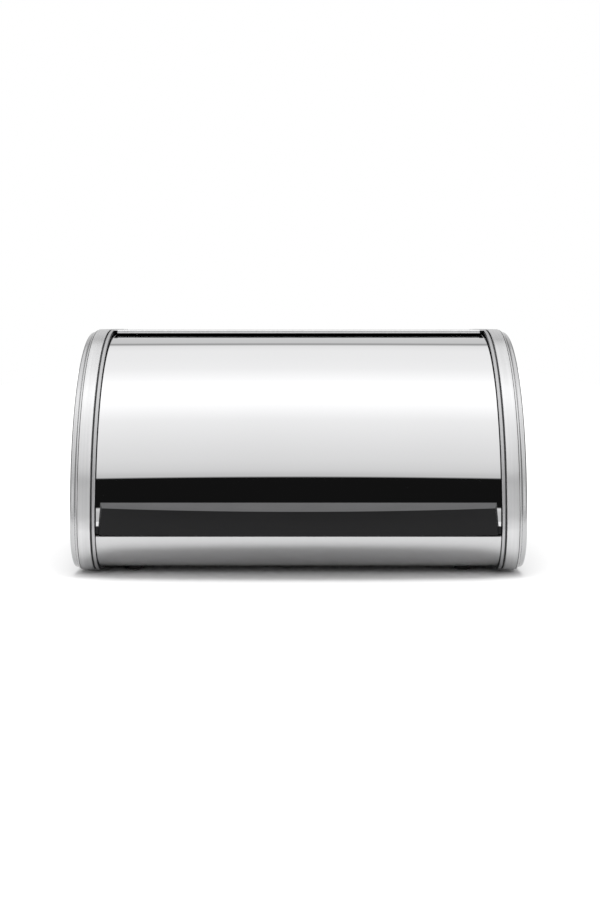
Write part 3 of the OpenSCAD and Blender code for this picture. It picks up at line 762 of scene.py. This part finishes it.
class BREADBOX_OT_handle(bpy.types.Operator):
    """The moulded handle, with rounded edges"""
    bl_idname = "bread_box.handle"
    bl_label = "Handle"

    def execute(self, context):
        moulding = context.scene.bread_box_mouldings
        skin = moulded_skin("Black moulding", moulding.handle_colour,
                            moulding.handle_roughness, depth=0.3, gloss=0.2)
        flat, sharp_from = math.radians(0.05), math.radians(35)
        bar = joined_copy("lid_handle")
        bmesh.ops.dissolve_limit(bar, angle_limit=flat, verts=bar.verts, edges=bar.edges)
        lid_r = PIVOT_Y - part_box("lid_sheet")[0].y
        seat_r = lid_r + 0.0008  # Edges within this lie on the lid and stay sharp.
        sharp = [edge for edge in bar.edges
                 if len(edge.link_faces) == 2
                 and edge.calc_face_angle(0.0) > sharp_from
                 and min(math.hypot(corner.co.y - PIVOT_Y, corner.co.z - PIVOT_Z)
                         for corner in edge.verts) > seat_r]
        bmesh.ops.bevel(bar, geom=sharp, offset=moulding.handle_edge, segments=3, profile=0.5,
                        affect="EDGES", clamp_overlap=True)
        new_piece("rounded_handle", bar, skin, "lid", ["lid_handle"])
        coat(["left_pivot_bush", "right_pivot_bush"], skin)
        return {"FINISHED"}


class BREADBOX_OT_feet(bpy.types.Operator):
    """Four rubber feet with a hollow underside and a spigot"""
    bl_idname = "bread_box.feet"
    bl_label = "Feet"

    def execute(self, context):
        skin = rubber()
        for node in ("front_left_foot", "front_right_foot", "rear_left_foot", "rear_right_foot"):
            solid = RoundSolid(separate_solids(node)[0], Vector((0, 0, 1)))
            widest = max(range(len(solid.steps)), key=solid.radius)
            tip, top, spigot = solid.radius(0), solid.radius(widest), solid.radius(-1)
            seat, length = solid.steps[widest], solid.length
            foot = bmesh.new()
            turned(foot, solid.place, [
                (0.0, 0.2 * seat), (0.36 * tip, 0.2 * seat), (0.46 * tip, 0.17 * seat),
                (0.53 * tip, 0.05 * seat), (0.6 * tip, 0.0), (0.84 * tip, 0.0),
                (0.95 * tip, 0.04 * seat), (1.0 * tip, 0.14 * seat), (1.06 * tip, 0.4 * seat),
                (0.96 * top, 0.8 * seat), (0.985 * top, 0.93 * seat), (0.96 * top, seat),
                (spigot, seat), (spigot, 0.96 * length), (0.92 * spigot, length),
                (0.0, length)])
            new_piece(f"moulded_{node}", foot, skin, "housing", [node])
        return {"FINISHED"}


class BREADBOX_OT_stops(bpy.types.Operator):
    """The rubber pads below the lid's edge and the buttons that stop the open lid"""
    bl_idname = "bread_box.stops"
    bl_label = "Pads and stops"

    def execute(self, context):
        skin = rubber()
        flat, pad_edge = math.radians(1), 0.0004
        for node in ("left_closing_pad", "right_closing_pad"):
            pad = joined_copy(node)
            bmesh.ops.dissolve_limit(pad, angle_limit=flat, verts=pad.verts, edges=pad.edges)
            bmesh.ops.bevel(pad, geom=pad.edges[:], offset=pad_edge, segments=3, profile=0.5,
                            affect="EDGES", clamp_overlap=True)
            new_piece(f"rounded_{node}", pad, skin, "housing", [node])
        for node in ("left_open_stop", "right_open_stop"):
            solid = RoundSolid(separate_solids(node)[0], Vector((0, -1, 0)))
            wide, length = solid.radius(0), solid.length
            button = bmesh.new()
            turned(button, solid.place, [
                (0.0, 0.0), (wide, 0.0), (wide, 0.6 * length), (0.97 * wide, 0.8 * length),
                (0.88 * wide, 0.94 * length), (0.74 * wide, length), (0.3 * wide, length),
                (0.24 * wide, 0.96 * length), (0.2 * wide, 0.7 * length), (0.0, 0.7 * length)])
            new_piece(f"moulded_{node}", button, skin, "housing", [node])
        return {"FINISHED"}


class BREADBOX_OT_screws(bpy.types.Operator):
    """Pan-head screws with a cross recess, in the end covers and in the handle"""
    bl_idname = "bread_box.screws"
    bl_label = "Screws"

    def execute(self, context):
        for node, body in (("cover_screws", "housing"), ("handle_screws", "lid")):
            screws = bmesh.new()
            for corners in separate_solids(node):
                middle = sum(corners, Vector()) / len(corners)
                outward = Vector((0, middle.y - PIVOT_Y, middle.z - PIVOT_Z)).normalized()
                if node == "cover_screws":
                    outward = Vector((math.copysign(1, middle.x), 0, 0))
                cross_screw(screws, RoundSolid(corners, outward))
            new_piece(f"cross_head_{node}", screws, fastener_steel(), body,
                      [node])
        return {"FINISHED"}


class BREADBOX_OT_rivets(bpy.types.Operator):
    """Domed rivets of the floor and of the lid's arms, and the headed pivot pins"""
    bl_idname = "bread_box.rivets"
    bl_label = "Rivets and pins"

    def execute(self, context):
        for node, body, axis in (("seam_rivets", "housing", Vector((0, 0, 1))),
                                 ("arm_rivets", "lid", Vector((1, 0, 0)))):
            rivets = bmesh.new()
            for corners in separate_solids(node):
                domed_rivet(rivets, RoundSolid(corners, axis))
            new_piece(f"domed_{node}", rivets, fastener_steel(), body, [node])
        for node, way in (("left_pivot_pin", -1), ("right_pivot_pin", 1)):
            solid = RoundSolid(separate_solids(node)[0], Vector((way, 0, 0)))
            head, pin, length = solid.radius(0), solid.narrowest(1), solid.length
            rise = solid.steps[1]
            shape = bmesh.new()
            turned(shape, solid.place, [
                (0.0, 0.3 * rise), (0.12 * head, 0.3 * rise), (0.22 * head, 0.0),
                (0.86 * head, 0.0), (0.95 * head, 0.1 * rise), (head, 0.35 * rise),
                (head, 0.9 * rise), (0.98 * head, rise), (pin, rise),
                (pin, length - 0.2 * pin), (0.8 * pin, length), (0.0, length)], segments=56)
            new_piece(f"turned_{node}", shape, fastener_steel(), "housing",
                      [node])
        return {"FINISHED"}


# The light tent, as the box sees it. Its stripes lie by the angle over the front in degrees: 0
# is level ahead, 90 straight up, 180 level behind. The other limits are parts of a direction
# of length 1, each the two ends of a soft edge. A level of 1 is white.
TENT_LEVELS = [
    (-180, 0.8), (4, 0.8), (9, 1.25), (22, 1.25), (26.5, 0.8), (30, 0.98), (36.5, 1.08),
    (50, 1.2), (64, 1.33), (75, 1.58), (82, 1.75), (89, 1.8), (97, 1.55), (108, 1.35),
    (119, 1.29), (130, 1.25), (138.5, 1.1), (140, 0.45), (142, 0.45), (143.5, 0.8),
    (180, 0.8)]
TENT_STRENGTH = 2.0  # Greys are levels over this, as a ramp's colours end at 1.
TENT_BOW = 1.27  # How far the stripes sink to the sides, in radians per square of x
TENT_BOW_END = 0.03  # The square of x beyond which they sink no farther
OPENING_FOOT, OPENING_TOP = (6.3, 7.2), (25.1, 26.1)  # In degrees, as the stripes
OPENING_SIDES = (0.165, 0.23)
OPENING_GREY = 0.0045
WING_SIDES, WING_HEIGHTS = (0.55, 0.9), (0.25, 0.5)
WING_GREYS = (0.4, 0.75)  # Low and high
FLAG_HEIGHTS, FLAG_DEPTHS = (0.28, 0.5), (-0.4, -0.15)
FLAG_INNER, FLAG_OUTER = (0.25, 0.4), (0.88, 0.97)
FLAG_OUTER_SHARE = 0.45  # How much of a flag is left past its outer edge
FLAG_GREYS, FLAG_CHANGE = (0.12, 0.04), (-0.1, 0.1)  # Left and right, and where they meet


class BREADBOX_OT_stage(bpy.types.Operator):
    """The studio: floor, light round the box and camera"""
    bl_idname = "bread_box.stage"
    bl_label = "Studio"

    def execute(self, context):
        stage = context.scene.bread_box_stage
        self.floor(stage)
        self.light(context.scene)
        self.key(context.scene, stage)
        self.camera(context.scene, stage)
        context.scene.view_settings.view_transform = "Standard"
        return {"FINISHED"}

    def floor(self, stage):
        """A wide pale floor that shades softly under the box."""
        made, tree, shader, where = new_material("Studio floor", metallic=0.0, roughness=0.9)
        shader.inputs["Specular IOR Level"].default_value = 0.0
        spots = noise(tree, where.outputs["Object"], -2, 0, scale=3.0, detail=2.0)
        feed(tree, shader.inputs["Base Color"],
             tint(tree, spots, 0, 0, stage.floor_colour, low=0.995, high=1.005))
        sheet = bmesh.new()
        size = Matrix.Diagonal((stage.floor_width, stage.floor_length, 1.0, 1.0))
        place = Matrix.Translation((0.0, stage.floor_length / 2 - stage.floor_ahead, 0.0))
        bmesh.ops.create_grid(sheet, x_segments=8, y_segments=8, size=0.5, matrix=place @ size)
        data = bpy.data.meshes.new("studio_floor")
        sheet.to_mesh(data)
        sheet.free()
        data.materials.append(made)
        floor = bpy.data.objects.new("studio_floor", data)
        bpy.context.scene.collection.objects.link(floor)

    def light(self, scene):
        """The world: cameras see white, everything else sees the light tent."""
        world = bpy.data.worlds.new("Studio")
        scene.world = world
        world.use_nodes = True
        tree = world.node_tree
        tree.nodes.clear()
        around = add_node(tree, "ShaderNodeBackground", 5, 0)
        feed(tree, around.inputs["Color"], self.tent(tree))
        feed(tree, around.inputs["Strength"], TENT_STRENGTH)
        seen = add_node(tree, "ShaderNodeBackground", 5, 2)
        feed(tree, seen.inputs["Color"], grey(1.0))
        feed(tree, seen.inputs["Strength"], 1.0)
        path = add_node(tree, "ShaderNodeLightPath", 5, 4)
        either = add_node(tree, "ShaderNodeMixShader", 6, 0)
        for slot, value in zip(either.inputs, (path.outputs["Is Camera Ray"],
                                               around.outputs[0], seen.outputs[0])):
            feed(tree, slot, value)
        end = add_node(tree, "ShaderNodeOutputWorld", 7, 0)
        feed(tree, end.inputs["Surface"], either.outputs[0])

    def tent(self, tree):
        """A light tent round the box, open and dark where the camera stands. Gives its colour."""
        where = add_node(tree, "ShaderNodeTexCoord", -6, 0)
        way = parts_of(tree, where.outputs["Generated"], -5, 0)
        aside = work_out(tree, "ABSOLUTE", -4, 4, way["X"])
        angle = self.tent_angle(tree, way)
        opened = blend(tree, 1, 0, self.opening_share(tree, angle, aside),
                       self.stripes(tree, angle), grey(OPENING_GREY))
        raised = spread(tree, way["Z"], 0, 10, WING_HEIGHTS)
        wings = blend(tree, 1, 10, raised, *map(grey, WING_GREYS))
        sides = blend(tree, 2, 0, spread(tree, aside, 1, 2, WING_SIDES), opened, wings)
        right = spread(tree, way["X"], 0, 8, FLAG_CHANGE)
        flags = blend(tree, 1, 8, right, *map(grey, FLAG_GREYS))
        return blend(tree, 4, 0, self.flag_share(tree, way, aside), sides, flags)

    def tent_angle(self, tree, way):
        """A direction's angle over the front, raised at the sides, where the stripes sink."""
        turn = work_out(tree, "ARCTAN2", -3, 0, way["Z"],
                        work_out(tree, "MULTIPLY", -4, -1, way["Y"], -1.0))
        bow = work_out(tree, "MINIMUM", -3, 2, TENT_BOW_END,
                       work_out(tree, "POWER", -4, 2, way["X"], 2.0))
        return work_out(tree, "ADD", -2, 1, turn,
                        work_out(tree, "MULTIPLY", -3, 1, bow, TENT_BOW))

    def stripes(self, tree, angle):
        """The tent's colour at an angle over the front."""
        ramp = add_node(tree, "ShaderNodeValToRGB", 0, 0)
        feed(tree, ramp.inputs["Fac"], spread(tree, angle, -1, 0, (-math.pi, math.pi)))
        elements = ramp.color_ramp.elements
        while len(elements) < len(TENT_LEVELS):
            elements.new(0.5)
        for element, (degrees, level) in zip(elements, TENT_LEVELS):
            element.position = (degrees + 180) / 360
            element.color = grey(level / TENT_STRENGTH)
        return ramp.outputs["Color"]

    def opening_share(self, tree, angle, aside):
        """Where the tent is open: 1 in the opening, 0 outside."""
        over_floor = spread(tree, angle, 0, -2, [math.radians(edge) for edge in OPENING_FOOT])
        under_tent = spread(tree, angle, 0, -3, [math.radians(edge) for edge in OPENING_TOP],
                            (1.0, 0.0))
        ahead = spread(tree, aside, 0, -4, OPENING_SIDES, (1.0, 0.0))
        return work_out(tree, "MULTIPLY", 2, -2, ahead,
                        work_out(tree, "MULTIPLY", 1, -3, over_floor, under_tent))

    def flag_share(self, tree, way, aside):
        """Where the dark flags hang, low beside the box and behind it: up to 1 on them."""
        low = spread(tree, way["Z"], -2, 6, FLAG_HEIGHTS, (1.0, 0.0))
        behind = spread(tree, way["Y"], -2, 7, FLAG_DEPTHS)
        beside = work_out(tree, "MULTIPLY", -1, 5, spread(tree, aside, -2, 5, FLAG_INNER),
                          spread(tree, aside, -2, 4, FLAG_OUTER, (1.0, FLAG_OUTER_SHARE)))
        return work_out(tree, "MULTIPLY", 0, 6, beside,
                        work_out(tree, "MULTIPLY", -1, 7, low, behind))

    def key(self, scene, stage):
        """A soft light from above. Reflections don't show it, so it lights floor and mouldings."""
        softness, towards_front = math.radians(35), math.radians(3)
        data = bpy.data.lights.new("Key", "SUN")
        data.energy = stage.key_strength
        data.angle = softness
        lamp = bpy.data.objects.new("Key", data)
        lamp.rotation_euler = (towards_front, 0.0, 0.0)
        lamp.visible_glossy = False
        scene.collection.objects.link(lamp)

    def camera(self, scene, stage):
        """The camera in front of the box, looking slightly down on it."""
        data = bpy.data.cameras.new("Camera")
        data.lens = stage.lens
        data.sensor_width = 36.0
        data.clip_start = 0.05
        data.clip_end = 60.0
        camera = bpy.data.objects.new("Camera", data)
        scene.collection.objects.link(camera)
        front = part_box("right_cap_band")[0].y
        camera.location = (stage.camera_aside, front - stage.camera_distance,
                           stage.camera_height)
        camera.rotation_euler = (math.radians(90) - stage.camera_tilt, 0.0, 0.0)
        scene.camera = camera


class BREADBOX_PT_panel(bpy.types.Panel):
    """The steps that dress the bread box, in order"""
    bl_idname = "BREADBOX_PT_panel"
    bl_label = "Bread box"
    bl_space_type = "VIEW_3D"
    bl_region_type = "UI"
    bl_category = "Bread box"

    def draw(self, context):
        for group in SETTINGS:
            box = self.layout.box()
            settings = getattr(context.scene, group)
            for key in settings.bl_rna.properties.keys():
                if key not in ("rna_type", "name"):
                    box.prop(settings, key)
        for operator in OPERATORS:
            self.layout.operator(operator.bl_idname)


OPERATORS = [
    BREADBOX_OT_body_sheets, BREADBOX_OT_end_caps, BREADBOX_OT_lid, BREADBOX_OT_handle,
    BREADBOX_OT_feet, BREADBOX_OT_stops, BREADBOX_OT_screws, BREADBOX_OT_rivets,
    BREADBOX_OT_stage,
]


def register():
    for made in [*SETTINGS.values(), *OPERATORS, BREADBOX_PT_panel]:
        bpy.utils.register_class(made)
    for name, settings in SETTINGS.items():
        setattr(bpy.types.Scene, name, bpy.props.PointerProperty(type=settings))


def unregister():
    for name in SETTINGS:
        delattr(bpy.types.Scene, name)
    for made in reversed([*SETTINGS.values(), *OPERATORS, BREADBOX_PT_panel]):
        bpy.utils.unregister_class(made)


def main():
    """Dresses the whole box."""
    register()
    for step in OPERATORS:
        area, name = step.bl_idname.split(".")
        getattr(getattr(bpy.ops, area), name)()


if __name__ == "__main__":
    main()
